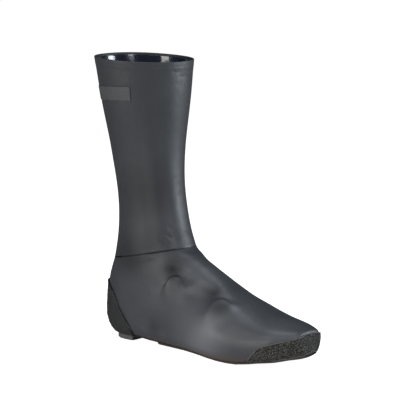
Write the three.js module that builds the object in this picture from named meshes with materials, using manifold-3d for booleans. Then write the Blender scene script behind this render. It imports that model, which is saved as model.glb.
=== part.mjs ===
// Cycling overshoe for a right foot: a stretch cover with a tall leg, pulled over a road shoe.
// Millimetres, +Z up, toe towards +X, the wearer's left towards +Y, standing on its sole.

import * as THREE from 'three';
import { mergeVertices } from 'three/addons/utils/BufferGeometryUtils.js';
import Module from 'manifold-3d';

const wasm = await Module();
wasm.setup();

// Driving sizes of the last
const FOOT_LENGTH = 290;
const BALL_WIDTH = 106;
const BEND_HEIGHT = 113; // floor to the bend of the instep
const COLLAR_HEIGHT = 337;
const CALF_DEPTH = 116;
const CALF_WIDTH = 107;

// Walls and clearances
const WALL = 1.5;
const SEAM_GAP = 0.3; // between neighbouring panels
const LAYER_GAP = 0.45; // between a panel and what is bonded on it
const FLOOR = 0;

// Collar
const HEM_HEIGHT = 9;
const HEM_STEP = 0.5;
const GRIPPER_THICKNESS = 0.6;
const GRIPPER_TOP = 3; // below the rim
const GRIPPER_HEIGHT = 40;

// Reflective tab round the back of the leg
const TAB_DROP = 29; // below the rim, at the tab's ends
const TAB_FALL = 6; // from the ends to the back
const TAB_HEIGHT = 16;
const TAB_THICKNESS = 0.3;
const TAB_TURN = 107; // from the back to each end

// Rubber under and round the foot
const TREAD_THICKNESS = 1.6;
const TREAD_MARGIN = 1.2; // inside the sole panel's edge
const TOE_PATCH_THICKNESS = 1.1;
const HEEL_PATCH_THICKNESS = 0.9;

// Heel lug, which fills the opening in the heel
const LUG_LENGTH = 34;
const LUG_WIDTH = 42;
const LUG_BACK = 12; // from the heel to the lug's back
const LUG_CORNER = 3;
const LUG_BEVEL = 1.2;
const LUG_FLANGE = 3; // beyond the opening, inside
const FLANGE_THICKNESS = 1.5;

// Opening for the cleat
const CLEAT_BACK = 0.51 * FOOT_LENGTH;
const CLEAT_LENGTH = 56;
const CLEAT_WIDTH = 60;
const CLEAT_CORNER = 12;
const CLEAT_BORDER = 2; // of bare panel inside the tread

// Rows of a table, each with its values under the names of the columns
const table = (names, rows) =>
  rows.map((row) => Object.fromEntries(names.map((name, i) => [name, row[i]])));

// Leg sections from the collar down to the ankle seam. Height is a share of the collar height,
// centre of the foot length, depth and width of the calf's, and tilt is the front's rise as a
// share of the section's own depth.
const LEG = table(
  ['height', 'centre', 'depth', 'width', 'tilt'],
  [
    [1.0, 0.148, 1.01, 1.01, -0.02],
    [0.89, 0.157, 0.946, 0.936, 0],
    [0.8, 0.163, 0.872, 0.852, 0],
    [0.72, 0.17, 0.797, 0.763, 0],
    [0.64, 0.177, 0.747, 0.701, 0.01],
    [0.555, 0.19, 0.71, 0.65, 0.04],
    [0.475, 0.203, 0.724, 0.643, 0.09],
    [0.392, 0.211, 0.778, 0.674, 0.15],
    [0.32, 0.216, 0.903, 0.72, 0.21],
  ],
);

// Foot sections from below the ankle seam to the toe. backX and topX are shares of the foot
// length, backZ and topZ of the bend height, width of the ball width, shift of the ball width
// towards the wearer's left. Square and crown are the roundness of the sole's and the instep's
// side, 2 for an ellipse and more for a squarer form, and widest is where the section is widest.
const FOOT = table(
  ['backX', 'backZ', 'topX', 'topZ', 'width', 'square', 'crown', 'widest', 'shift'],
  [
    [0.011, 0.67, 0.423, 1.013, 0.725, 2.3, 2.2, 0.48, 0],
    [0.004, 0.44, 0.444, 0.984, 0.735, 2.4, 2.2, 0.46, 0],
    [0.01, 0.215, 0.463, 0.952, 0.73, 2.7, 2.2, 0.44, 0],
    [0.045, 0.097, 0.487, 0.924, 0.72, 3.2, 2.2, 0.42, 0],
    [0.095, 0.062, 0.51, 0.9, 0.71, 4, 2.2, 0.4, -0.005],
    [0.175, 0.062, 0.535, 0.868, 0.71, 4.4, 2.2, 0.38, -0.01],
    [0.275, 0.046, 0.565, 0.83, 0.73, 4.4, 2.2, 0.37, -0.015],
    [0.38, 0.045, 0.6, 0.782, 0.78, 4.4, 2.15, 0.36, -0.02],
    [0.48, 0.047, 0.64, 0.72, 0.86, 4.4, 2.1, 0.35, -0.015],
    [0.57, 0.034, 0.683, 0.65, 0.94, 4.4, 2.1, 0.35, -0.005],
    [0.655, 0.012, 0.732, 0.593, 0.985, 4.4, 2.1, 0.36, 0.01],
    [0.74, 0.011, 0.785, 0.53, 0.97, 4.4, 2.15, 0.38, 0.025],
    [0.82, 0.045, 0.84, 0.475, 0.9, 4.2, 2.3, 0.4, 0.04],
    [0.885, 0.07, 0.895, 0.442, 0.79, 3.8, 2.6, 0.42, 0.045],
    [0.922, 0.094, 0.935, 0.418, 0.65, 3.4, 3, 0.45, 0.048],
    [0.95, 0.108, 0.964, 0.404, 0.54, 3, 3, 0.47, 0.052],
    [0.972, 0.122, 0.986, 0.384, 0.43, 2.8, 3, 0.48, 0.056],
    [0.988, 0.143, 0.995, 0.28, 0.28, 2.5, 2.5, 0.49, 0.06],
    [1, 0.19, 1, 0.195, 0, 2.2, 2.2, 0.5, 0.06],
  ],
);

// The leg's sections are near ellipses, widest in the middle
const LEG_ROUNDNESS = 2.2;
const LEG_WIDEST = 0.5;
const fromLeg = ({ height, centre, depth, width, tilt }) => {
  const reach = (depth * CALF_DEPTH) / 2;
  const rise = tilt * reach;
  return {
    backX: centre * FOOT_LENGTH - reach,
    backZ: height * COLLAR_HEIGHT - rise,
    topX: centre * FOOT_LENGTH + reach,
    topZ: height * COLLAR_HEIGHT + rise,
    width: width * CALF_WIDTH,
    square: LEG_ROUNDNESS,
    crown: LEG_ROUNDNESS,
    widest: LEG_WIDEST,
    shift: 0,
  };
};

const fromFoot = (row) => ({
  ...row,
  backX: row.backX * FOOT_LENGTH,
  backZ: row.backZ * BEND_HEIGHT,
  topX: row.topX * FOOT_LENGTH,
  topZ: row.topZ * BEND_HEIGHT,
  width: row.width * BALL_WIDTH,
  shift: row.shift * BALL_WIDTH,
});

const SECTIONS = [...LEG.map(fromLeg), ...FOOT.map(fromFoot)];

// Stations count the sections from the collar
const SEAM = LEG.length - 1; // between the leg and the foot
const HEEL_CORNER = SEAM + 3.5; // where the sole panel begins, behind the heel
const TREAD_BACK = SEAM + 7.5; // the tread's lip at the arch
const TIP = SECTIONS.length - 1;
const TREAD_FRONT = TIP - 1;
const LUG_SEAT = SEAM + 5; // where the lug's middle meets the sole
const FLANGE_BACK = SEAM + 3;
const FLANGE_FRONT = SEAM + 7;

// Edges of the patches on the outer side, from back to front. Stations count from the seam.
const HEEL_PATCH_EDGE = [
  { station: 1.3, turn: 24 },
  { station: 1.6, turn: 45 },
  { station: 2.3, turn: 65 },
  { station: 3.6, turn: 75 },
  { station: 5, turn: 76 },
  { station: 5.8, turn: 62 },
  { station: 6.1, turn: 44 },
];
const TOE_PATCH_EDGE = [
  { station: 12.6, turn: 46 },
  { station: 12.95, turn: 70 },
  { station: 13.3, turn: 89 },
  { station: 13.9, turn: 95 },
  { station: 14.8, turn: 99 },
  { station: 15.9, turn: 106 },
  { station: 16.75, turn: 115 },
  { station: 17.25, turn: 142 },
];

// A place between the rows of a table, on a smooth curve through the values of each column
function between(table, position) {
  const last = table.length - 1;
  const first = Math.min(Math.floor(position), last - 1);
  const t = position - first;
  const row = (i) => table[THREE.MathUtils.clamp(i, 0, last)];
  const [a, b, c, d] = [row(first - 1), row(first), row(first + 1), row(first + 2)];
  const result = {};
  for (const name of Object.keys(b)) {
    const leave = (c[name] - a[name]) / 2;
    const arrive = (d[name] - b[name]) / 2;
    const bend = 3 * (c[name] - b[name]) - 2 * leave - arrive;
    const twist = 2 * (b[name] - c[name]) + leave + arrive;
    result[name] = b[name] + t * (leave + t * (bend + t * twist));
  }
  return result;
}

// A point of the last. Turn is in degrees round the section: 0 at the heel or sole, 90 on the
// outer side, 180 on the shin or instep, 270 on the inner side.
function onLast(station, turn) {
  const section = between(SECTIONS, station);
  const angle = THREE.MathUtils.degToRad(turn);
  const side = Math.sin(angle);
  const up = -Math.cos(angle);
  const roundness = 2 / (up < 0 ? section.square : section.crown);
  const reach = up < 0 ? section.widest : 1 - section.widest;
  const share = section.widest + Math.sign(up) * reach * Math.abs(up) ** roundness;
  return new THREE.Vector3(
    THREE.MathUtils.lerp(section.backX, section.topX, share),
    section.shift - Math.sign(side) * (section.width / 2) * Math.abs(side) ** roundness,
    THREE.MathUtils.lerp(section.backZ, section.topZ, share),
  );
}

// The last's outward direction at a point
const STEP = 0.02;
const ROUND_THE_TIP = [45, 135, 225, 315];
function outward(station, turn) {
  const s = THREE.MathUtils.clamp(station, STEP, TIP - STEP);
  const turns = station > TIP - STEP ? ROUND_THE_TIP : [turn];
  const normal = new THREE.Vector3();
  for (const each of turns) {
    const along = onLast(s + STEP, each).sub(onLast(s - STEP, each));
    const around = onLast(s, each + 1).sub(onLast(s, each - 1));
    normal.add(along.cross(around).normalize());
  }
  return normal.normalize();
}

const steps = (from, to, count) =>
  Array.from({ length: count + 1 }, (_, i) => THREE.MathUtils.lerp(from, to, i / count));

// Columns lie at the same turns on every panel. The sole panel takes those on either side of
// the middle of the sole, and the upper the others.
const FRONT = 180;
const COLUMN_TURN = 11.25;
const SOLE_TURN = 4 * COLUMN_TURN;
const BAND_ROWS = 2; // of faces, on the bands round the leg
const columns = (from, to) => steps(from, to, Math.round((to - from) / COLUMN_TURN));
const soleColumns = columns(-SOLE_TURN, SOLE_TURN);
const upperColumns = columns(SOLE_TURN, 360 - SOLE_TURN);
const allColumns = columns(0, 360);

// Stations of the foot's rows: two to each section, and one where they crowd at the tip
const footStations = (from, to) =>
  steps(from, to, Math.round((to - from) * 2)).filter((s) => s < TIP - 2 || Number.isInteger(s));

// A grid of places, with a row at each station and a column at each turn
const grid = (stations, turns) => stations.map((station) => turns.map((turn) => ({ station, turn })));

const keyOf = ({ station, turn }) =>
  station === TIP ? 'tip' : `${station.toFixed(4)} ${THREE.MathUtils.euclideanModulo(turn, 360).toFixed(3)}`;

// A solid panel of the last's form between two offsets, with its outline drawn in by trim.
// Grids that share places are joined. An offset is a number or a function of the place.
function panel(grids, inner, outer, trim = SEAM_GAP / 2, lowest = -Infinity) {
  const places = [];
  const ids = new Map();
  const idOf = (place) => {
    const key = keyOf(place);
    if (!ids.has(key)) ids.set(key, places.push(place) - 1);
    return ids.get(key);
  };
  const faces = [];
  const addFace = (...corners) => {
    if (new Set(corners).size === corners.length) faces.push(corners);
  };
  for (const rows of grids) {
    for (let i = 0; i + 1 < rows.length; i++) {
      for (let j = 0; j + 1 < rows[i].length; j++) {
        const [a, b] = [idOf(rows[i][j]), idOf(rows[i][j + 1])];
        const [c, d] = [idOf(rows[i + 1][j + 1]), idOf(rows[i + 1][j])];
        addFace(a, b, c);
        addFace(a, c, d);
      }
    }
  }
  const edges = new Map();
  for (const face of faces) {
    face.forEach((a, i) => edges.set(`${a} ${face[(i + 1) % 3]}`, [a, face[(i + 1) % 3]]));
  }
  const rim = [...edges.values()].filter(([a, b]) => !edges.has(`${b} ${a}`));
  const onRim = new Set(rim.flat());
  const base = places.map(({ station, turn }) => onLast(station, turn));
  const inward = places.map(() => new THREE.Vector3());
  for (const [a, b] of edges.values()) {
    const way = base[b].clone().sub(base[a]).normalize();
    if (onRim.has(a) && !onRim.has(b)) inward[a].add(way);
    if (onRim.has(b) && !onRim.has(a)) inward[b].sub(way);
  }
  const offsetBy = (offset) =>
    places.map((place, i) => {
      const reach = typeof offset === 'function' ? offset(place) : offset;
      const point = base[i].clone().addScaledVector(outward(place.station, place.turn), reach);
      point.addScaledVector(inward[i].normalize(), trim);
      point.z = Math.max(point.z, lowest);
      return point;
    });
  const points = [...offsetBy(outer), ...offsetBy(inner)];
  const back = places.length;
  const index = [
    ...faces.flat(),
    ...faces.flatMap(([a, b, c]) => [a + back, c + back, b + back]),
    ...rim.flatMap(([a, b]) => [b, a, a + back, b, a + back, b + back]),
  ];
  return solidOf(points.flatMap((p) => p.toArray()), index);
}

// A manifold solid from positions and an index, turned to face outwards
function solidOf(positions, index) {
  const make = (triangles) =>
    new wasm.Manifold(
      new wasm.Mesh({
        numProp: 3,
        vertProperties: new Float32Array(positions),
        triVerts: new Uint32Array(triangles),
      }),
    );
  const made = make(index);
  if (made.volume() > 0) return made;
  const turned = [];
  for (let i = 0; i < index.length; i += 3) turned.push(index[i], index[i + 2], index[i + 1]);
  return make(turned);
}

// An upright prism of an outline between two heights. A bevel grows the outline by its own size
// and rounds both ends.
const BEVEL_STEPS = 2;
const CORNER_STEPS = 4;
function prism(outline, bottom, top, bevel = 0) {
  const geometry = new THREE.ExtrudeGeometry(outline, {
    depth: top - bottom - 2 * bevel,
    bevelEnabled: bevel > 0,
    bevelThickness: bevel,
    bevelSize: bevel,
    bevelSegments: BEVEL_STEPS,
    curveSegments: CORNER_STEPS,
  });
  geometry.translate(0, 0, bottom + bevel);
  geometry.deleteAttribute('normal');
  geometry.deleteAttribute('uv');
  const merged = mergeVertices(geometry);
  return solidOf([...merged.attributes.position.array], [...merged.index.array]);
}

const geometryOf = (solid) => {
  const mesh = solid.getMesh();
  return new THREE.BufferGeometry()
    .setAttribute('position', new THREE.BufferAttribute(mesh.vertProperties, 3))
    .setIndex(new THREE.BufferAttribute(mesh.triVerts, 1));
};

// The station at a height on the leg, on its front or at another turn
const HALVINGS = 40;
function stationAtHeight(height, turn = FRONT) {
  let [above, below] = [0, SEAM];
  for (let i = 0; i < HALVINGS; i++) {
    const middle = (above + below) / 2;
    if (onLast(middle, turn).z > height) above = middle;
    else below = middle;
  }
  return above;
}

const rimHeight = onLast(0, FRONT).z;

// The leg, with a step where the hem at the collar ends
const HEM_EDGE = 0.01; // of a section
function makeShaft() {
  const hemEnd = stationAtHeight(rimHeight - HEM_HEIGHT);
  const stations = [0, hemEnd, hemEnd + HEM_EDGE, ...steps(1, SEAM, SEAM - 1)];
  const outer = ({ station }) => (station <= hemEnd ? HEM_STEP : 0);
  return panel([grid(stations, allColumns)], -WALL, outer);
}

function makeGripper() {
  const from = stationAtHeight(rimHeight - GRIPPER_TOP);
  const to = stationAtHeight(rimHeight - GRIPPER_TOP - GRIPPER_HEIGHT);
  const outer = -WALL - LAYER_GAP;
  const rows = grid(steps(from, to, BAND_ROWS), allColumns);
  return panel([rows], outer - GRIPPER_THICKNESS, outer, 0);
}

// The tab sinks a little from its ends to the back
function makeTab() {
  const middle = columns(-FRONT, FRONT).filter((turn) => Math.abs(turn) < TAB_TURN);
  const turns = [-TAB_TURN, ...middle, TAB_TURN];
  const rows = steps(0, TAB_HEIGHT, BAND_ROWS).map((down) =>
    turns.map((turn) => {
      const sunk = TAB_FALL * (1 - Math.abs(turn) / TAB_TURN);
      return { station: stationAtHeight(rimHeight - TAB_DROP - sunk - down, turn), turn };
    }),
  );
  return panel([rows], LAYER_GAP, LAYER_GAP + TAB_THICKNESS, 0);
}

// The foot is closed round behind the heel and open underneath
function makeUpper() {
  const heel = grid(footStations(SEAM, HEEL_CORNER), allColumns);
  const foot = grid(footStations(HEEL_CORNER, TIP), upperColumns);
  return panel([heel, foot], -WALL, 0);
}

// An outline, seen from above, with round corners and grown by a margin
function roundedBox(back, length, width, corner, grow) {
  const [x0, x1] = [back - grow, back + length + grow];
  const y = width / 2 + grow;
  const r = corner + grow;
  const shape = new THREE.Shape();
  shape.moveTo(x0 + r, -y);
  shape.lineTo(x1 - r, -y);
  shape.absarc(x1 - r, -y + r, r, -Math.PI / 2, 0);
  shape.lineTo(x1, y - r);
  shape.absarc(x1 - r, y - r, r, 0, Math.PI / 2);
  shape.lineTo(x0 + r, y);
  shape.absarc(x0 + r, y - r, r, Math.PI / 2, Math.PI);
  shape.lineTo(x0, -y + r);
  shape.absarc(x0 + r, -y + r, r, Math.PI, Math.PI * 1.5);
  return shape;
}

// The lug's outline: a round back and a straight front with small corners
function lugOutline(grow) {
  const y = LUG_WIDTH / 2 + grow;
  const front = LUG_BACK + LUG_LENGTH + grow;
  const r = LUG_CORNER;
  const centre = LUG_BACK + LUG_WIDTH / 2;
  const shape = new THREE.Shape();
  shape.moveTo(centre, -y);
  shape.lineTo(front - r, -y);
  shape.absarc(front - r, -y + r, r, -Math.PI / 2, 0);
  shape.lineTo(front, y - r);
  shape.absarc(front - r, y - r, r, 0, Math.PI / 2);
  shape.lineTo(centre, y);
  shape.absarc(centre, 0, y, Math.PI / 2, Math.PI * 1.5);
  return shape;
}

// Openings are cut from under the floor up to well inside the foot
const OPENING_TOP = 40;
const throughSole = (outline) => prism(outline, FLOOR - WALL, OPENING_TOP);
const cleatOpening = (grow) =>
  throughSole(roundedBox(CLEAT_BACK, CLEAT_LENGTH, CLEAT_WIDTH, CLEAT_CORNER, grow));
const lugOpening = () => throughSole(lugOutline(LAYER_GAP));

function makeSolePanel() {
  return panel([grid(footStations(HEEL_CORNER, TIP), soleColumns)], -WALL, 0)
    .subtract(lugOpening())
    .subtract(cleatOpening(0));
}

function makeTread() {
  const rows = grid(footStations(TREAD_BACK, TREAD_FRONT), soleColumns);
  const outer = LAYER_GAP + TREAD_THICKNESS;
  return panel([rows], LAYER_GAP, outer, TREAD_MARGIN, FLOOR).subtract(cleatOpening(CLEAT_BORDER));
}

// A layer on the foot's own grid, cut to the outline of a thicker sheet
function patch(from, to, thickness, outline) {
  const layer = panel([grid(footStations(from, to), allColumns)], LAYER_GAP, LAYER_GAP + thickness);
  return layer.intersect(panel(outline, -WALL, LAYER_GAP + thickness + WALL));
}

const PATCH_STEPS = 2; // of the outline to each row of its table
const EDGE_STEPS = 4; // of the outline from the sole up to its edge
const edgePlaces = (table) =>
  steps(0, table.length - 1, (table.length - 1) * PATCH_STEPS)
    .map((position) => between(table, position))
    .map(({ station, turn }) => ({ station: SEAM + station, turn }));

function makeHeelPatch() {
  const edge = edgePlaces(HEEL_PATCH_EDGE);
  const outline = edge.flatMap(({ station, turn }) => grid([station], steps(-turn, turn, 2 * EDGE_STEPS)));
  const [from, to] = [Math.floor(edge[0].station), Math.ceil(edge.at(-1).station)];
  return patch(from, to, HEEL_PATCH_THICKNESS, [outline]).subtract(lugOpening());
}

// The toe patch runs up both sides and meets over the front of the toe
function makeToePatch() {
  const edge = edgePlaces(TOE_PATCH_EDGE);
  const side = (turn) => steps(SOLE_TURN, turn, EDGE_STEPS);
  const mirrored = (turn) => side(turn).map((each) => 360 - each).reverse();
  const meet = edge.at(-1);
  const across = steps(meet.turn, 360 - meet.turn, EDGE_STEPS).slice(1, -1);
  const outline = [
    edge.flatMap(({ station, turn }) => grid([station], side(turn))),
    edge.flatMap(({ station, turn }) => grid([station], mirrored(turn))),
    grid(steps(meet.station, TIP, 2), [...side(meet.turn), ...across, ...mirrored(meet.turn)]),
  ];
  return patch(Math.floor(edge[0].station), TIP, TOE_PATCH_THICKNESS, outline);
}

// The lug hangs from a flange that rests inside the sole panel
function makeLug() {
  const outer = -WALL - LAYER_GAP;
  const rows = grid(footStations(FLANGE_BACK, FLANGE_FRONT), allColumns);
  const layer = panel([rows], outer - FLANGE_THICKNESS, outer, 0);
  const flange = layer.intersect(throughSole(lugOutline(LUG_FLANGE)));
  const seat = onLast(LUG_SEAT, 0).z + WALL + LAYER_GAP;
  return flange.add(prism(lugOutline(-LUG_BEVEL), FLOOR, seat + FLANGE_THICKNESS / 2, LUG_BEVEL));
}

const coated = new THREE.MeshStandardMaterial({ color: 0x3a3b3d, roughness: 0.55, metalness: 0 });
const grit = new THREE.MeshStandardMaterial({ color: 0x33322f, roughness: 0.9, metalness: 0 });
const rubber = new THREE.MeshStandardMaterial({ color: 0x1c1c1d, roughness: 0.6, metalness: 0 });
const silicone = new THREE.MeshStandardMaterial({ color: 0x1c212c, roughness: 0.15, metalness: 0 });
const reflective = new THREE.MeshStandardMaterial({ color: 0x4c4d4f, roughness: 0.5, metalness: 0 });

const PIECES = [
  ['shaft', makeShaft, coated],
  ['upper', makeUpper, coated],
  ['sole_panel', makeSolePanel, coated],
  ['tread', makeTread, rubber],
  ['toe_patch', makeToePatch, grit],
  ['heel_patch', makeHeelPatch, rubber],
  ['heel_lug', makeLug, rubber],
  ['gripper', makeGripper, silicone],
  ['back_tab', makeTab, reflective],
];

const overshoe = new THREE.Group();
for (const [name, make, material] of PIECES) {
  const mesh = new THREE.Mesh(geometryOf(make()), material);
  mesh.name = name;
  overshoe.add(mesh);
}

// The origin is on the floor, under the middle of the overshoe
const box = new THREE.Box3().setFromObject(overshoe);
const middle = box.getCenter(new THREE.Vector3());
overshoe.position.set(-middle.x, -middle.y, -box.min.z);

export default overshoe;
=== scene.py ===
"""A tall coated cycling overshoe for a right foot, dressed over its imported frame.

Lengths are metres. X runs from heel to toe, Y to the wearer's left and Z up, from the floor.
"""

import math

import bpy
from bpy.props import FloatProperty, FloatVectorProperty, PointerProperty
from mathutils import Matrix, Vector, noise


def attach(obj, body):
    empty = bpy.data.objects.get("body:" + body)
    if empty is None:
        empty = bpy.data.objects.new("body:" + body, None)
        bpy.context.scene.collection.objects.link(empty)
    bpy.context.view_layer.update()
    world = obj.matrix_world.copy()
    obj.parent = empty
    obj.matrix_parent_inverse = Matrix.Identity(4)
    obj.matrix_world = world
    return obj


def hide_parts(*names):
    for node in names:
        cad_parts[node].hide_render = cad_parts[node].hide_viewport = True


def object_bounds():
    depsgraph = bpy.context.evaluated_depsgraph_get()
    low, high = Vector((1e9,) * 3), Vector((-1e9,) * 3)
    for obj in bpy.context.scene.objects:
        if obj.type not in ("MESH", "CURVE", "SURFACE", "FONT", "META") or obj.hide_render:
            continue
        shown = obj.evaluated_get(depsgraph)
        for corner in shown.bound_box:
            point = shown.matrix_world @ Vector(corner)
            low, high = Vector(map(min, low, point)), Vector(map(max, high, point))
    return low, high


bl_info = {
    "name": "Cycling overshoe",
    "version": (1, 0, 0),
    "blender": (4, 5, 0),
    "location": "View3D > Sidebar > Overshoe",
    "description": "Covers the overshoe's frame with coated cloth, rubber patches and seams",
    "category": "Object",
}

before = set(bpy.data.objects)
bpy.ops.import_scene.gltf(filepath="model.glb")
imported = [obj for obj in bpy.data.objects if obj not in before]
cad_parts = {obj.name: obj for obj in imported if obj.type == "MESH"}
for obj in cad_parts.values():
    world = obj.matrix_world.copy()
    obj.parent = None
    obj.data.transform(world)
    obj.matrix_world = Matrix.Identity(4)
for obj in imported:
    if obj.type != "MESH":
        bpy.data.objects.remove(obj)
CAD_BOX = [list(corner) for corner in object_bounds()]
LOW, HIGH = (Vector(corner) for corner in CAD_BOX)
MM = 0.001

# Making of the sheets
MERGE = 0.01 * MM
SHEET_BEND = math.radians(62)  # a sharper bend ends a sheet
CORNER_BEND = math.radians(42)  # a sharper bend is shaded as an edge
CREASE_BEND = math.radians(30)  # a sharper bend stays a crease where a sheet is rounded
CREASE = 0.6  # how firmly it stays
SHRINKAGE = 0.25 * MM  # what rounding takes off a sheet
REFINE_SMOOTHING = 4  # passes over cloth that was cut finer
SEAM_SMOOTHING = 3  # passes over a bead's line
PATCH_SMOOTHING = 6  # passes over a rubber patch
OUTER_SIDE = Vector((0, -1, 0))

# Rounded edges of the thin solid pieces
PANEL_EDGE = 0.3 * MM
FILM_EDGE = 0.2 * MM
PRINT_EDGE = 0.08 * MM

# Fineness of the rubber patches and of the cloth round folds and dials
TOE_VOXEL = 0.55 * MM
HEEL_VOXEL = 0.6 * MM
STUD_SPACING = 2.4 * MM
FOLD_REACH = 11 * MM
DIAL_REACHES = (26 * MM, 15 * MM)

# Coated cloth: how strongly it reflects, and the browner, duller edge near the floor
SATIN = 0.42
LOW_SATIN = 0.25 * SATIN
BROWN_LOW = 5 * MM
BROWN_TOP = 16 * MM
LOW_BROWN = (0.060, 0.042, 0.034)

# Places are shares of the overshoe's box: from the heel's side to the toe's, from the middle to
# the inner side, and from the floor to the collar. Widths and heights are millimetres.

# Round a dial's edge the cloth goes from soft to crisp, from the first to the second of these
# shares of the crisp direction
SOFT_UNTIL = -0.75
CRISP_FROM = 0.35

# Dials under the cloth: centre, radius, height, slope on the crisp side, slope on the soft side,
# crisp direction, lean of the face and its amount, hollow over it and its reach
DIALS = (
    ((0.441, -0.586, 0.233), 10.4, 1.5, 1.1, 11, (-0.15, 0, 1), (-0.4, 0, 0.9), 0.05, 2.3, 9),
    ((0.668, -0.640, 0.184), 9.6, 1.1, 4.5, 10, (-0.2, 0.5, 0.9), (-1, 0, -0.2), 0.55, 1.3, 9),
)

# Round swells: centre, radius, height
SWELLS = (
    # Cloth pulled tight beside the upper dial, and the groove that it leaves
    ((0.424, -0.535, 0.285), 10, -0.9),
    ((0.483, -0.540, 0.238), 3.6, -1.0),
    ((0.520, -0.505, 0.245), 8, 1.3),
    ((0.398, -0.600, 0.226), 5, 0.3),
    # Cloth round the lower dial
    ((0.600, -0.500, 0.228), 11, -1.5),
    ((0.708, -0.500, 0.191), 8, 1.3),
    ((0.628, -0.780, 0.162), 10, 1.2),
    ((0.700, -0.760, 0.150), 9, -0.8),
    # Side of the foot
    ((0.335, -0.720, 0.077), 15, -1.5),
    ((0.410, -0.765, 0.074), 11, -1.0),
    ((0.608, -0.868, 0.110), 26, 0.9),
    ((0.209, -0.694, 0.262), 18, -1.0),
)

# Straight folds: start, end, half-width, height
FOOT_FOLDS = (
    ((0.470, -0.500, 0.262), (0.610, -0.450, 0.236), 5.5, -0.8),
    ((0.500, -0.600, 0.215), (0.600, -0.600, 0.205), 6.0, -0.8),
    ((0.155, -0.579, 0.300), (0.345, -0.640, 0.318), 2.2, 0.4),
    ((0.300, -0.700, 0.050), (0.500, -0.800, 0.055), 3.0, 0.5),
    ((0.690, -0.820, 0.130), (0.760, -0.800, 0.100), 7.0, -0.6),
)
LEG_FOLDS = (
    ((0.357, -0.523, 0.384), (0.384, -0.434, 0.372), 2.0, -0.45),
    ((0.372, -0.426, 0.399), (0.388, -0.362, 0.386), 1.9, -0.4),
    ((0.378, -0.331, 0.424), (0.402, -0.204, 0.389), 2.3, -0.5),
    ((0.362, -0.440, 0.394), (0.386, -0.370, 0.378), 2.2, 0.25),
    ((0.376, -0.370, 0.411), (0.400, -0.280, 0.386), 2.4, 0.25),
    ((0.392, 0.138, 0.423), (0.402, 0.142, 0.396), 1.3, -0.3),
    ((0.386, 0.080, 0.430), (0.398, 0.080, 0.400), 1.3, -0.3),
    ((0.155, -0.579, 0.335), (0.345, -0.600, 0.345), 2.6, -0.5),
    ((0.155, -0.579, 0.322), (0.345, -0.600, 0.331), 2.0, 0.4),
    ((0.376, -0.240, 0.958), (0.368, 0.400, 0.955), 2.2, -0.28),
    ((0.380, -0.060, 0.940), (0.366, 0.440, 0.937), 2.4, -0.25),
    ((0.040, -0.300, 0.680), (0.085, -0.350, 0.560), 5.0, 0.9),
)

# Painted light and shade on the cloth's colour and gloss, darker where shade falls and lighter
# where light falls: centre, radius, factor
PAINTED_LIGHT_AND_SHADE = (
    # Over the upper dial, on its face and at its foot
    ((0.422, -0.530, 0.284), 21, 0.3),
    ((0.470, -0.530, 0.245), 10, 0.6),
    ((0.408, -0.610, 0.240), 6, 1.3),
    # Over the lower dial and on its face
    ((0.612, -0.500, 0.228), 20, 0.62),
    ((0.668, -0.640, 0.184), 19, 0.62),
    ((0.725, -0.520, 0.190), 10, 1.5),
    # Dent in the side of the foot, and the smooth bulge before it
    ((0.362, -0.729, 0.072), 20, 0.75),
    ((0.590, -0.880, 0.090), 60, 1.55),
    ((0.640, -0.930, 0.065), 40, 1.5),
    # Ankle and instep
    ((0.235, -0.680, 0.320), 42, 0.6),
    ((0.340, -0.560, 0.372), 30, 0.75),
    ((0.425, -0.050, 0.366), 16, 1.6),
    ((0.540, -0.250, 0.275), 48, 1.45),
    # Toe
    ((0.920, -0.200, 0.140), 40, 1.7),
    ((0.760, -0.300, 0.190), 50, 1.3),
    # Front and middle of the leg
    ((0.300, -0.560, 0.530), 60, 0.7),
    ((0.450, -0.100, 0.640), 60, 1.12),
    ((0.400, -0.200, 0.470), 40, 1.12),
)

# The hem's groove, in millimetres
HEM_DROP = 5.5  # below the rim
HEM_WIDTH = 0.9
HEM_DEPTH = 0.12


def place(along, across, up):
    """The point at shares of the overshoe's length, half-width and height"""
    return Vector((LOW.x + along * (HIGH.x - LOW.x), across * HIGH.y, up * HIGH.z))


# Where the beads run, and the middles that the patches face away from
LIP_LOW = 10 * MM
HEEL_EDGE_LOW = 12 * MM
HEEL_EDGE_BACK = place(0.235, 0, 0).x
ANKLE_LOW = place(0, 0, 0.25).z
BORDER_TOP = 30 * MM
BORDER_BACK = place(0.21, 0, 0).x
BORDER_FRONT = place(0.78, 0, 0).x
TOE_MIDDLE = place(0.88, 0, 0.06)
HEEL_MIDDLE = place(0.2, 0, 0.13)

# Where the heel lug turns from worn grey to glossy black
LUG_GREY = place(0.196, 0, 0).x
LUG_BLACK = place(0.201, 0, 0).x


class OvershoeSizes(bpy.types.PropertyGroup):
    """Sizes of what is added to the frame"""

    wall: FloatProperty(
        name="Cloth", description="Thickness of the coated cloth", default=1.5 * MM, unit="LENGTH"
    )
    edge: FloatProperty(
        name="Edge", description="Rounding of the cloth's edges", default=0.55 * MM, unit="LENGTH"
    )
    bead: FloatProperty(
        name="Bead", description="Radius of the bonded edge line", default=0.75 * MM, unit="LENGTH"
    )
    seam: FloatProperty(
        name="Seam", description="Radius of the seams' cord", default=0.5 * MM, unit="LENGTH"
    )
    lip: FloatProperty(
        name="Lip", description="Radius of the toe patch's lip", default=0.4 * MM, unit="LENGTH"
    )
    grit: FloatProperty(
        name="Grit", description="Height of the toe patch's grit", default=0.4 * MM, unit="LENGTH"
    )
    grain: FloatProperty(
        name="Grain", description="Size of a grain of the grit", default=1.3 * MM, unit="LENGTH"
    )
    studs: FloatProperty(
        name="Studs", description="Height of the heel patch's marks", default=0.35 * MM,
        unit="LENGTH",
    )


def colour_property(name, description, default):
    return FloatVectorProperty(
        name=name, description=description, default=default, subtype="COLOR", min=0, max=1
    )


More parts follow.
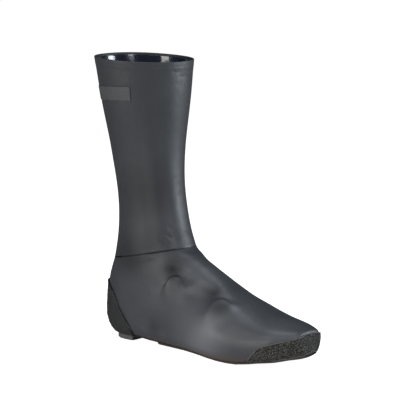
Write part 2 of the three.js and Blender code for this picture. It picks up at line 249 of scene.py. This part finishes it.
class OvershoeColours(bpy.types.PropertyGroup):
    """Colours of the overshoe and its stage"""

    cloth: colour_property("Cloth", "Coated cloth", (0.030, 0.032, 0.036))
    film: colour_property("Film", "Glossy gripper film", (0.010, 0.014, 0.028))
    tab: colour_property("Tab", "Reflective tab", (0.050, 0.051, 0.054))
    grit: colour_property("Grit", "Toe patch", (0.030, 0.029, 0.025))
    # The lip's pale colour is a painted highlight of the toe patch's edge catching light
    lip: colour_property("Lip", "Thin lip round the toe patch", (0.085, 0.086, 0.084))
    heel: colour_property("Heel", "Heel patch", (0.016, 0.016, 0.016))
    tread: colour_property("Tread", "Tread under the forefoot", (0.020, 0.018, 0.016))
    lug: colour_property("Lug", "Heel lug", (0.070, 0.071, 0.077))
    # Also the ankle seam's cord, which is a painted shadow as well as the seam
    bead: colour_property("Bead", "Bonded edge lines", (0.006, 0.006, 0.007))
    floor: colour_property("Floor", "Studio floor", (0.90, 0.90, 0.90))


# Handling of objects


def only(piece):
    """Selects one object and nothing else"""
    bpy.ops.object.select_all(action="DESELECT")
    piece.select_set(True)
    bpy.context.view_layer.objects.active = piece


def edit(piece, mode="VERT"):
    """Opens one object in edit mode, with nothing in it selected"""
    only(piece)
    bpy.ops.object.mode_set(mode="EDIT")
    bpy.ops.mesh.select_mode(type=mode)
    bpy.ops.mesh.select_all(action="DESELECT")


def leave_edit():
    bpy.ops.object.mode_set(mode="OBJECT")


def copy_of(node, name):
    """A merged copy of a node of the frame, in four-sided faces"""
    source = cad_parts[node]
    piece = bpy.data.objects.new(name, source.data.copy())
    piece.data.materials.clear()
    bpy.context.scene.collection.objects.link(piece)
    edit(piece)
    bpy.ops.mesh.select_all(action="SELECT")
    bpy.ops.mesh.remove_doubles(threshold=MERGE)
    bpy.ops.mesh.tris_convert_to_quads(
        face_threshold=SHEET_BEND, shape_threshold=SHEET_BEND, topology_influence=1
    )
    leave_edit()
    return piece


def select_faces(piece, wanted):
    """Opens a piece in edit mode with the faces that a test names selected"""
    edit(piece, "FACE")
    leave_edit()
    for face in piece.data.polygons:
        face.select = wanted(face)
    bpy.ops.object.mode_set(mode="EDIT")


def keep_sheet(piece, outside):
    """Keeps the wall of a piece that faces a direction, as a sheet"""
    facing = [face for face in piece.data.polygons if face.normal.dot(outside) > 0.5]
    seed = max(facing, key=lambda face: face.center.dot(outside)).index
    select_faces(piece, lambda face: face.index == seed)
    bpy.ops.mesh.faces_select_linked_flat(sharpness=SHEET_BEND)
    bpy.ops.mesh.select_all(action="INVERT")
    bpy.ops.mesh.delete(type="FACE")
    leave_edit()


def apply(piece, kind, **settings):
    """Adds a modifier to a piece and applies it"""
    only(piece)
    modifier = piece.modifiers.new(kind.title(), kind)
    for name, value in settings.items():
        setattr(modifier, name, value)
    bpy.ops.object.modifier_apply(modifier=modifier.name)


def fair(piece, levels, crease=0):
    """Rounds a sheet's facets, except at its creases, and moves it out to where they were"""
    edit(piece, "EDGE")
    bpy.ops.mesh.edges_select_sharp(sharpness=CREASE_BEND)
    bpy.ops.transform.edge_crease(value=crease)
    leave_edit()
    apply(piece, "SUBSURF", levels=levels, render_levels=levels)
    apply(piece, "DISPLACE", strength=SHRINKAGE, mid_level=0)


def refine(piece, places, radius):
    """Cuts the faces near some places finer, and evens them out"""
    select_faces(piece, lambda face: any((face.center - p).length < radius for p in places))
    bpy.ops.mesh.subdivide(number_cuts=1, smoothness=0)
    bpy.ops.mesh.vertices_smooth(factor=0.5, repeat=REFINE_SMOOTHING)
    leave_edit()


def distance_to_fold(point, start, end):
    span = end - start
    share = max(0, min(1, (point - start).dot(span) / span.length_squared))
    return (point - start - share * span).length


def over_dial(point, centre, radius, rise, crisp, soft, toward, lean, amount, hollow, reach):
    """How far tight cloth stands out over a dial, with the hollow on its crisp side"""
    off = point - centre
    distance = max(off.length, MERGE)
    side = off.dot(toward) / distance
    share = max(0, min(1, (side - SOFT_UNTIL) / (CRISP_FROM - SOFT_UNTIL)))
    share = share * share * (3 - 2 * share)
    past = max(0, distance - radius)
    fall = math.exp(-((past / (soft + (crisp - soft) * share)) ** 2))
    face = 1 + amount * off.dot(lean) / max(distance, radius)
    dip = max(0, side) ** 2 * math.exp(-((past / reach) ** 2)) * (1 - fall)
    return rise * face * fall - hollow * dip


def relief(point, swells, folds, dials):
    """How far the cloth stands out at a point, over swells, folds and dials"""
    height = sum(over_dial(point, *dial) for dial in dials)
    for centre, radius, rise in swells:
        height += rise * math.exp(-(((point - centre).length / radius) ** 2))
    for start, end, width, rise in folds:
        height += rise * math.exp(-((distance_to_fold(point, start, end) / width) ** 2))
    return height


def shape(piece, swells, folds, dials=()):
    """Moves a sheet's points along its normals by the relief"""
    swells = [(place(*centre), r * MM, h * MM) for centre, r, h in swells]
    folds = [(place(*start), place(*end), w * MM, h * MM) for start, end, w, h in folds]
    dials = [
        (
            place(*centre), radius * MM, rise * MM, crisp * MM, soft * MM,
            Vector(toward).normalized(), Vector(lean).normalized(), amount,
            hollow * MM, reach * MM,
        )
        for centre, radius, rise, crisp, soft, toward, lean, amount, hollow, reach in dials
    ]
    normals = [vertex.normal.copy() for vertex in piece.data.vertices]
    for vertex, normal in zip(piece.data.vertices, normals):
        vertex.co += normal * relief(vertex.co, swells, folds, dials)


def groove_below_rim(piece):
    """Presses the hem's groove round a tube, a little under its rim"""
    top = [vertex.co for vertex in piece.data.vertices if vertex.co.z > 0.9 * HIGH.z]
    back = max(top, key=lambda p: p.z - p.x)
    front = max(top, key=lambda p: p.z + p.x)
    slope = (front.z - back.z) / (front.x - back.x)
    normals = [vertex.normal.copy() for vertex in piece.data.vertices]
    for vertex, normal in zip(piece.data.vertices, normals):
        drop = back.z + slope * (vertex.co.x - back.x) - vertex.co.z
        off = (drop - HEM_DROP * MM) / (HEM_WIDTH * MM)
        vertex.co -= normal * HEM_DEPTH * MM * math.exp(-(off**2))


def thicken(piece, wall, edge):
    """Gives a sheet its wall, inwards, and rounds its edges"""
    apply(piece, "SOLIDIFY", thickness=wall, offset=-1, use_even_offset=False)
    apply(
        piece, "BEVEL", width=edge, segments=2, limit_method="ANGLE", angle_limit=SHEET_BEND,
        use_clamp_overlap=True,
    )


def shade(piece):
    only(piece)
    bpy.ops.object.shade_smooth_by_angle(angle=CORNER_BEND)


def finish(piece, look, slot, *nodes):
    """Gives a piece its look, and ties it to the frame"""
    if not piece.data.polygons:
        raise RuntimeError(f"{piece.name} has no faces")
    shade(piece)
    piece.data.materials.clear()
    piece.data.materials.append(look)
    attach(piece, "root")
    if nodes:
        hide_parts(*nodes)


def bead_along(piece, name, radius, keep):
    """A round bead along the open edges of a sheet whose middle passes a test"""
    line = bpy.data.objects.new(name, piece.data.copy())
    bpy.context.scene.collection.objects.link(line)
    edit(line, "EDGE")
    bpy.ops.mesh.select_all(action="SELECT")
    bpy.ops.mesh.region_to_loop()
    leave_edit()
    points = line.data.vertices
    for side in line.data.edges:
        middle = (points[side.vertices[0]].co + points[side.vertices[1]].co) / 2
        side.select = side.select and keep(middle)
    bpy.ops.object.mode_set(mode="EDIT")
    bpy.ops.mesh.select_all(action="INVERT")
    bpy.ops.mesh.delete(type="EDGE_FACE")
    bpy.ops.mesh.select_all(action="SELECT")
    bpy.ops.mesh.vertices_smooth(factor=0.5, repeat=SEAM_SMOOTHING)
    leave_edit()
    edit(line)
    leave_edit()
    loose = {index for side in line.data.edges for index in side.vertices}
    for vertex in line.data.vertices:
        vertex.select = vertex.index not in loose
    bpy.ops.object.mode_set(mode="EDIT")
    bpy.ops.mesh.delete(type="VERT")
    leave_edit()
    bpy.ops.object.convert(target="CURVE")
    line.data.bevel_depth = radius
    line.data.bevel_resolution = 3
    line.data.use_fill_caps = True
    bpy.ops.object.convert(target="MESH")
    return bpy.context.view_layer.objects.active


# Materials


class Look:
    """A material made of nodes on object coordinates"""

    def __init__(self, name, colour, roughness, specular=0.5):
        self.material = bpy.data.materials.new(name)
        self.material.use_nodes = True
        self.tree = self.material.node_tree
        self.shader = self.tree.nodes["Principled BSDF"]
        self.shader.inputs["Base Color"].default_value = (*colour, 1)
        self.shader.inputs["Roughness"].default_value = roughness
        self.shader.inputs["Specular IOR Level"].default_value = specular
        self.place = self.add("ShaderNodeTexCoord").outputs["Object"]

    def add(self, kind, inputs=(), **settings):
        node = self.tree.nodes.new(kind)
        for name, value in settings.items():
            setattr(node, name, value)
        for name, value in dict(inputs).items():
            if isinstance(value, bpy.types.NodeSocket):
                self.tree.links.new(value, node.inputs[name])
            else:
                node.inputs[name].default_value = value
        return node

    def noise(self, size, detail=3, roughness=0.55):
        """Clouds with a given size in metres, from 0 to 1"""
        inputs = {
            "Vector": self.place, "Scale": 1 / size, "Detail": detail, "Roughness": roughness,
        }
        return self.add("ShaderNodeTexNoise", inputs).outputs["Fac"]

    def cells(self, size, feature="F1"):
        inputs = {"Vector": self.place, "Scale": 1 / size}
        return self.add("ShaderNodeTexVoronoi", inputs, feature=feature).outputs["Distance"]

    def spread(self, value, low, high, to_low, to_high):
        """A value's range moved to another range"""
        inputs = {
            "Value": value, "From Min": low, "From Max": high, "To Min": to_low, "To Max": to_high,
        }
        return self.add("ShaderNodeMapRange", inputs).outputs["Result"]

    def blend(self, share, first, second):
        """A colour between two, by a share"""
        node = self.add("ShaderNodeMix", data_type="RGBA")
        self.tree.links.new(share, node.inputs["Factor"])
        for socket, colour in ((node.inputs["A"], first), (node.inputs["B"], second)):
            if isinstance(colour, bpy.types.NodeSocket):
                self.tree.links.new(colour, socket)
            else:
                socket.default_value = (*colour, 1)
        return node.outputs["Result"]

    def tone(self, tones):
        """A factor of painted light and shade, softly lighter or darker round some places"""
        factor = None
        for centre, radius, change in tones:
            inputs = {0: self.place, 1: place(*centre)}
            away = self.add("ShaderNodeVectorMath", inputs, operation="DISTANCE").outputs["Value"]
            inputs = {"Value": away, "From Max": radius * MM, "To Min": change, "To Max": 1}
            near = self.add("ShaderNodeMapRange", inputs, interpolation_type="SMOOTHSTEP")
            own = near.outputs["Result"]
            factor = self.multiply(factor, own) if factor else own
        return factor

    def multiply(self, first, second):
        return self.add("ShaderNodeMath", {0: first, 1: second}, operation="MULTIPLY").outputs[0]

    def scaled(self, colour, factor):
        inputs = {0: colour, "Scale": factor}
        return self.add("ShaderNodeVectorMath", inputs, operation="SCALE").outputs["Vector"]

    def colour(self, socket):
        self.tree.links.new(socket, self.shader.inputs["Base Color"])

    def roughness(self, socket):
        self.tree.links.new(socket, self.shader.inputs["Roughness"])

    def bumps(self, *heights):
        """Bump from several heights, each with its depth in metres"""
        normal = None
        for height, depth in heights:
            inputs = {"Height": height, "Distance": depth, "Strength": 1}
            if normal:
                inputs["Normal"] = normal
            normal = self.add("ShaderNodeBump", inputs).outputs["Normal"]
        self.tree.links.new(normal, self.shader.inputs["Normal"])


def tinted(colour, factor):
    return tuple(min(1, channel * factor) for channel in colour)


def coated_cloth(colour):
    """Satin coating over a fine stretch knit, browner and duller towards the floor, with painted
    light and shade over its dials, hollows and folds
    """
    look = Look("coated_cloth", colour, 0.46, SATIN)
    clouds = look.noise(26 * MM, 4)
    worn = look.blend(clouds, tinted(colour, 0.88), tinted(colour, 1.14))
    height = look.add("ShaderNodeSeparateXYZ", {"Vector": look.place}).outputs["Z"]
    # Browner and duller towards the floor
    low = look.spread(height, BROWN_LOW, BROWN_TOP, 0.85, 0)
    # Painted light and shade, which scales the cloth's colour
    tone = look.tone(PAINTED_LIGHT_AND_SHADE)
    look.colour(look.blend(low, look.scaled(worn, tone), LOW_BROWN))
    dull = look.spread(height, BROWN_LOW, BROWN_TOP, LOW_SATIN, SATIN)
    # The painted light and shade scales the gloss as well
    gloss = look.multiply(tone, dull)
    look.tree.links.new(gloss, look.shader.inputs["Specular IOR Level"])
    look.roughness(look.spread(look.noise(7 * MM, 4), 0.3, 0.7, 0.42, 0.52))
    look.bumps(
        (look.noise(14 * MM, 2), 0.35 * MM),
        (look.noise(0.55 * MM, 2), 0.03 * MM),
    )
    return look.material


def gripper_film(colour):
    look = Look("gripper_film", colour, 0.12, 0.6)
    look.shader.inputs["Coat Weight"].default_value = 0.5
    look.shader.inputs["Coat Roughness"].default_value = 0.05
    look.roughness(look.spread(look.noise(3 * MM), 0.3, 0.7, 0.12, 0.2))
    look.bumps((look.noise(16 * MM, 2), 0.5 * MM), (look.noise(1.4 * MM, 2), 0.03 * MM))
    return look.material


def reflective_print(colour):
    look = Look("reflective_print", colour, 0.5, 0.5)
    beads = look.cells(0.35 * MM)
    look.colour(look.blend(look.noise(1.2 * MM), tinted(colour, 0.9), tinted(colour, 1.12)))
    look.bumps((beads, 0.05 * MM))
    return look.material


def gritty_rubber(colour, grain):
    """Rubber set with fine grit: pale grains over dark pits"""
    look = Look("gritty_rubber", colour, 0.8, 0.35)
    grains = look.add("ShaderNodeTexVoronoi", {"Vector": look.place, "Scale": 1 / grain})
    pits = look.spread(grains.outputs["Distance"], 0.22, 0.55, 0, 1)
    own = look.add("ShaderNodeSeparateColor", {"Color": grains.outputs["Color"]}).outputs["Red"]
    tone = look.blend(own, tinted(colour, 0.7), tinted(colour, 4.4))
    dust = look.spread(look.noise(0.8 * MM, 3), 0.5, 0.68, 0, 0.8)
    pale = look.blend(dust, tone, (0.13, 0.126, 0.102))
    look.colour(look.blend(pits, pale, tinted(colour, 0.25)))
    look.roughness(look.spread(look.noise(1.5 * MM), 0.3, 0.7, 0.55, 0.9))
    look.bumps((pits, -0.45 * MM), (look.noise(0.5 * MM, 3), 0.12 * MM))
    return look.material


def marked_rubber(colour):
    """Rubber with small raised marks"""
    look = Look("marked_rubber", colour, 0.6, 0.3)
    marks = look.cells(2.2 * MM, "SMOOTH_F1")
    look.colour(look.blend(look.noise(2.4 * MM, 3), tinted(colour, 0.6), tinted(colour, 1.7)))
    look.roughness(look.spread(look.noise(2 * MM), 0.3, 0.7, 0.5, 0.72))
    look.bumps((marks, -0.5 * MM), (look.noise(0.6 * MM, 3), 0.1 * MM))
    return look.material


def lip_with_painted_highlight(colour):
    """The thin lip of rubber round the toe patch, made pale as a painted highlight where its edge
    catches light
    """
    look = Look("lip_with_painted_highlight", colour, 0.6, 0.4)
    look.colour(look.blend(look.noise(1.6 * MM, 3), tinted(colour, 0.5), tinted(colour, 1.5)))
    look.bumps((look.noise(0.7 * MM, 3), 0.12 * MM))
    return look.material


def tread_rubber(colour):
    look = Look("tread_rubber", colour, 0.62, 0.4)
    look.colour(look.blend(look.noise(9 * MM, 4), colour, (0.046, 0.036, 0.028)))
    look.roughness(look.spread(look.noise(4 * MM), 0.3, 0.7, 0.55, 0.75))
    look.bumps((look.noise(1.2 * MM, 3), 0.12 * MM))
    return look.material


def lug_rubber(colour):
    """Grey worn rubber, black and glossy at the front corner"""
    look = Look("lug_rubber", colour, 0.36, 0.5)
    worn = look.blend(look.noise(6 * MM, 3), tinted(colour, 0.8), tinted(colour, 1.2))
    along = look.add("ShaderNodeSeparateXYZ", {"Vector": look.place}).outputs["X"]
    front = look.spread(along, LUG_GREY, LUG_BLACK, 0, 1)
    look.colour(look.blend(front, worn, tinted(colour, 0.12)))
    look.roughness(look.spread(front, 0, 1, 0.42, 0.16))
    look.bumps((look.noise(2.5 * MM, 3), 0.08 * MM))
    return look.material


# Dark glossy line for bonded edges, also standing in for the painted shadow in the ankle seam
def bonded_line_and_shadow(colour):
    look = Look("bonded_line_and_shadow", colour, 0.3, 0.5)
    look.roughness(look.spread(look.noise(3 * MM), 0.3, 0.7, 0.25, 0.4))
    look.bumps((look.noise(0.8 * MM, 2), 0.05 * MM))
    return look.material


def cloth_look():
    """The coated cloth, shared by the leg, the foot and the sole"""
    colour = bpy.context.scene.overshoe_colours.cloth
    return bpy.data.materials.get("coated_cloth") or coated_cloth(colour)


# Pieces


class OVERSHOE_OT_leg(bpy.types.Operator):
    """The leg, from the hem at the collar to the ankle seam"""

    bl_idname = "overshoe.leg"
    bl_label = "Leg"

    def execute(self, context):
        sizes = context.scene.overshoe_sizes
        leg = copy_of("shaft", "leg_cover")
        keep_sheet(leg, OUTER_SIDE)
        fair(leg, 3)
        wrinkled = [place(*start) for start, *_ in LEG_FOLDS]
        wrinkled += [place(*end) for _, end, *_ in LEG_FOLDS]
        refine(leg, wrinkled, FOLD_REACH)
        shape(leg, (), LEG_FOLDS)
        groove_below_rim(leg)
        thicken(leg, sizes.wall, sizes.edge)
        finish(leg, cloth_look(), "coated_fabric", "shaft")
        return {"FINISHED"}


class OVERSHOE_OT_collar(bpy.types.Operator):
    """The glossy gripper inside the collar and the reflective tab on the back"""

    bl_idname = "overshoe.collar"
    bl_label = "Gripper and tab"

    def execute(self, context):
        colours = context.scene.overshoe_colours
        gripper = copy_of("gripper", "gripper_band")
        apply(gripper, "BEVEL", width=FILM_EDGE, segments=2, limit_method="ANGLE")
        apply(gripper, "SUBSURF", levels=3, render_levels=3)
        finish(gripper, gripper_film(colours.film), "gripper_film", "gripper")
        tab = copy_of("back_tab", "back_reflector")
        apply(tab, "BEVEL", width=PRINT_EDGE, segments=2, limit_method="ANGLE")
        apply(tab, "SUBSURF", levels=2, render_levels=2)
        finish(tab, reflective_print(colours.tab), "reflective_film", "back_tab")
        return {"FINISHED"}


class OVERSHOE_OT_foot(bpy.types.Operator):
    """The foot, stretched over the shoe's two dials"""

    bl_idname = "overshoe.foot"
    bl_label = "Foot"

    def execute(self, context):
        sizes = context.scene.overshoe_sizes
        foot = copy_of("upper", "foot_cover")
        keep_sheet(foot, OUTER_SIDE)
        fair(foot, 2, CREASE)
        dials = [place(*centre) for centre, *_ in DIALS]
        for reach in DIAL_REACHES:
            refine(foot, dials, reach)
        shape(foot, SWELLS, FOOT_FOLDS, DIALS)
        thicken(foot, sizes.wall, sizes.edge)
        finish(foot, cloth_look(), "coated_fabric", "upper")
        return {"FINISHED"}


class OVERSHOE_OT_sole(bpy.types.Operator):
    """The sole panel, the tread under the forefoot and the heel lug"""

    bl_idname = "overshoe.sole"
    bl_label = "Sole"

    def execute(self, context):
        colours = context.scene.overshoe_colours
        panel = copy_of("sole_panel", "sole_cover")
        apply(panel, "BEVEL", width=PANEL_EDGE, segments=2, limit_method="ANGLE")
        finish(panel, cloth_look(), "coated_fabric", "sole_panel")
        tread = copy_of("tread", "tread_sheet")
        apply(tread, "BEVEL", width=PANEL_EDGE, segments=2, limit_method="ANGLE")
        finish(tread, tread_rubber(colours.tread), "tread_rubber", "tread")
        lug = copy_of("heel_lug", "heel_tread")
        apply(lug, "BEVEL", width=PANEL_EDGE, segments=2, limit_method="ANGLE")
        finish(lug, lug_rubber(colours.lug), "lug_rubber", "heel_lug")
        return {"FINISHED"}


def rubber_patch(node, name, voxel):
    """A patch of the frame as an even mesh with soft edges"""
    patch = copy_of(node, name)
    apply(patch, "REMESH", mode="VOXEL", voxel_size=voxel)
    apply(patch, "SMOOTH", factor=0.5, iterations=PATCH_SMOOTHING)
    return patch


def roughen(piece, grain, height, middle):
    """Raises grains on the outer side of a patch"""
    normals = [vertex.normal.copy() for vertex in piece.data.vertices]
    for vertex, normal in zip(piece.data.vertices, normals):
        if normal.dot(vertex.co - middle) > 0:
            near = noise.voronoi(vertex.co / grain)[0][0]
            vertex.co += normal * height * (0.5 - near)


class OVERSHOE_OT_patches(bpy.types.Operator):
    """The gritty toe patch and the heel patch, with their bonded edges"""

    bl_idname = "overshoe.patches"
    bl_label = "Patches"

    def execute(self, context):
        sizes = context.scene.overshoe_sizes
        colours = context.scene.overshoe_colours
        toe = rubber_patch("toe_patch", "toe_rubber", TOE_VOXEL)
        roughen(toe, sizes.grain, sizes.grit, TOE_MIDDLE)
        finish(toe, gritty_rubber(colours.grit, sizes.grain), "grit_rubber", "toe_patch")
        rim = copy_of("toe_patch", "toe_edge_source")
        keep_sheet(rim, OUTER_SIDE)
        lip = bead_along(rim, "toe_edge", sizes.lip, lambda p: p.z > LIP_LOW)
        bpy.data.objects.remove(rim)
        # A real lip, coloured pale as a painted highlight of the patch's edge
        finish(lip, lip_with_painted_highlight(colours.lip), "grit_rubber")
        heel = rubber_patch("heel_patch", "heel_rubber", HEEL_VOXEL)
        roughen(heel, STUD_SPACING, sizes.studs, HEEL_MIDDLE)
        finish(heel, marked_rubber(colours.heel), "heel_rubber", "heel_patch")
        edge = copy_of("heel_patch", "heel_edge_source")
        keep_sheet(edge, OUTER_SIDE)
        bead = bead_along(
            edge, "heel_edge", sizes.bead, lambda p: p.z > HEEL_EDGE_LOW or p.x > HEEL_EDGE_BACK
        )
        bpy.data.objects.remove(edge)
        finish(bead, bonded_line_and_shadow(colours.bead), "heel_rubber")
        return {"FINISHED"}


class OVERSHOE_OT_seams(bpy.types.Operator):
    """The dark seams at the ankle and along the sole, the ankle seam's cord also a painted shadow
    under the foot's overlapping edge
    """

    bl_idname = "overshoe.seams"
    bl_label = "Seams"

    def execute(self, context):
        sizes = context.scene.overshoe_sizes
        line = bonded_line_and_shadow(context.scene.overshoe_colours.bead)
        edge = copy_of("upper", "ankle_edge_source")
        keep_sheet(edge, OUTER_SIDE)
        fair(edge, 2)
        # The dark cord in the ankle groove is partly the seam and partly a painted shadow of the
        # foot's edge over the leg
        seam = bead_along(edge, "ankle_seam_and_shadow", sizes.seam, lambda p: p.z > ANKLE_LOW)
        bpy.data.objects.remove(edge)
        finish(seam, line, "coated_fabric")
        edge = copy_of("upper", "lower_edge_source")
        keep_sheet(edge, OUTER_SIDE)
        fair(edge, 1)
        border = bead_along(
            edge, "sole_seam", sizes.seam,
            lambda p: p.z < BORDER_TOP and BORDER_BACK < p.x < BORDER_FRONT,
        )
        bpy.data.objects.remove(edge)
        finish(border, line, "coated_fabric")
        return {"FINISHED"}


# Stage

AIM = Vector((7.35, 0, 169)) * MM
AZIMUTH = math.radians(39)
ELEVATION = math.radians(9.204)
ROLL = math.radians(0.681)
DISTANCE = 2.4
SENSOR = 36  # millimetres
FRAME_PIXELS = 416
SCALE = 0.865  # pixels to a millimetre at the aim
AIM_X, AIM_Y = 209.943, 207.836  # the aim's pixel
LOW_AIM = Vector((40, -40, 25)) * MM  # the low light's, on the side of the forefoot
FLOOR_GLOW = 0.93
SKY = 0.09


def camera():
    toward = Vector((
        math.sin(AZIMUTH) * math.cos(ELEVATION),
        -math.cos(AZIMUTH) * math.cos(ELEVATION),
        math.sin(ELEVATION),
    ))
    right = Vector((math.cos(AZIMUTH), math.sin(AZIMUTH), 0))
    up = toward.cross(right)
    axes = Matrix((right, up, toward)).transposed() @ Matrix.Rotation(ROLL, 3, "Z")
    data = bpy.data.cameras.new("camera")
    data.sensor_width = SENSOR
    data.lens = SCALE / MM * DISTANCE * SENSOR / FRAME_PIXELS
    data.shift_x = (FRAME_PIXELS / 2 - AIM_X) / FRAME_PIXELS
    data.shift_y = (AIM_Y - FRAME_PIXELS / 2) / FRAME_PIXELS
    item = bpy.data.objects.new("camera", data)
    item.matrix_world = Matrix.Translation(AIM + toward * DISTANCE) @ axes.to_4x4()
    bpy.context.scene.collection.objects.link(item)
    bpy.context.scene.camera = item


# Softboxes: aim, turn from the camera to the right and height above level in degrees, distance
# and size in metres, spread in degrees, watts, colour
SOFTBOXES = (
    ("left", AIM, -68, 6, 1.8, 0.5, 0.7, 180, 7, (1, 0.99, 0.97)),
    ("left_high", AIM, -45, 42, 1.8, 0.7, 0.7, 180, 7.5, (0.98, 0.99, 1)),
    ("front", AIM, 30, 30, 1.8, 0.6, 0.6, 180, 10, (0.92, 0.96, 1)),
    ("top", AIM, 0, 89, 1.8, 0.7, 0.7, 180, 10, (0.85, 0.92, 1)),
    ("right", AIM, 96, 6, 1.8, 0.6, 0.6, 180, 17, (0.86, 0.93, 1)),
    ("low", LOW_AIM, -32, 8, 0.6, 0.3, 0.15, 50, 0.15, (1, 0.99, 0.97)),
)


def softbox(name, aim, turn, lift, distance, width, tall, spread, power, colour):
    """A soft light aimed at a place, turned from the camera's side"""
    data = bpy.data.lights.new(name, "AREA")
    data.shape = "RECTANGLE"
    data.size = width
    data.size_y = tall
    data.spread = math.radians(spread)
    data.energy = power
    data.color = colour
    angle = AZIMUTH + math.radians(turn)
    rise = math.radians(lift)
    toward = Vector((
        math.sin(angle) * math.cos(rise), -math.cos(angle) * math.cos(rise), math.sin(rise),
    ))
    item = bpy.data.objects.new(name, data)
    item.location = aim + toward * distance
    item.rotation_euler = toward.to_track_quat("Z", "Y").to_euler()
    item.visible_camera = False
    bpy.context.scene.collection.objects.link(item)


class OVERSHOE_OT_stage(bpy.types.Operator):
    """The pale floor, the soft lights and the camera"""

    bl_idname = "overshoe.stage"
    bl_label = "Stage"

    def execute(self, context):
        bpy.ops.object.select_all(action="DESELECT")
        bpy.ops.mesh.primitive_plane_add(size=30)
        floor = context.active_object
        floor.name = "floor"
        look = Look("floor", context.scene.overshoe_colours.floor, 0.9, 0.1)
        look.shader.inputs["Emission Color"].default_value = (1, 1, 1, 1)
        look.shader.inputs["Emission Strength"].default_value = FLOOR_GLOW
        floor.data.materials.append(look.material)
        floor.visible_glossy = False
        world = bpy.data.worlds.new("studio")
        world.use_nodes = True
        background = world.node_tree.nodes["Background"]
        background.inputs["Color"].default_value = (0.92, 0.95, 1, 1)
        background.inputs["Strength"].default_value = SKY
        context.scene.world = world
        for row in SOFTBOXES:
            softbox(*row)
        context.scene.view_settings.view_transform = "Standard"
        camera()
        return {"FINISHED"}


class OVERSHOE_PT_panel(bpy.types.Panel):
    """Lists the overshoe's pieces, sizes and colours"""

    bl_label = "Overshoe"
    bl_idname = "OVERSHOE_PT_panel"
    bl_space_type = "VIEW_3D"
    bl_region_type = "UI"
    bl_category = "Overshoe"

    def draw(self, context):
        for group in (context.scene.overshoe_sizes, context.scene.overshoe_colours):
            for name in group.__annotations__:
                self.layout.prop(group, name)
        for operator in OPERATORS:
            self.layout.operator(operator.bl_idname)


OPERATORS = (
    OVERSHOE_OT_leg,
    OVERSHOE_OT_collar,
    OVERSHOE_OT_foot,
    OVERSHOE_OT_sole,
    OVERSHOE_OT_patches,
    OVERSHOE_OT_seams,
    OVERSHOE_OT_stage,
)
CLASSES = (OvershoeSizes, OvershoeColours, *OPERATORS, OVERSHOE_PT_panel)


def register():
    for each in CLASSES:
        bpy.utils.register_class(each)
    bpy.types.Scene.overshoe_sizes = PointerProperty(type=OvershoeSizes)
    bpy.types.Scene.overshoe_colours = PointerProperty(type=OvershoeColours)


def unregister():
    del bpy.types.Scene.overshoe_colours
    del bpy.types.Scene.overshoe_sizes
    for each in reversed(CLASSES):
        bpy.utils.unregister_class(each)


def main():
    register()
    bpy.ops.overshoe.leg()
    bpy.ops.overshoe.collar()
    bpy.ops.overshoe.foot()
    bpy.ops.overshoe.sole()
    bpy.ops.overshoe.patches()
    bpy.ops.overshoe.seams()
    bpy.ops.overshoe.stage()


if __name__ == "__main__":
    main()
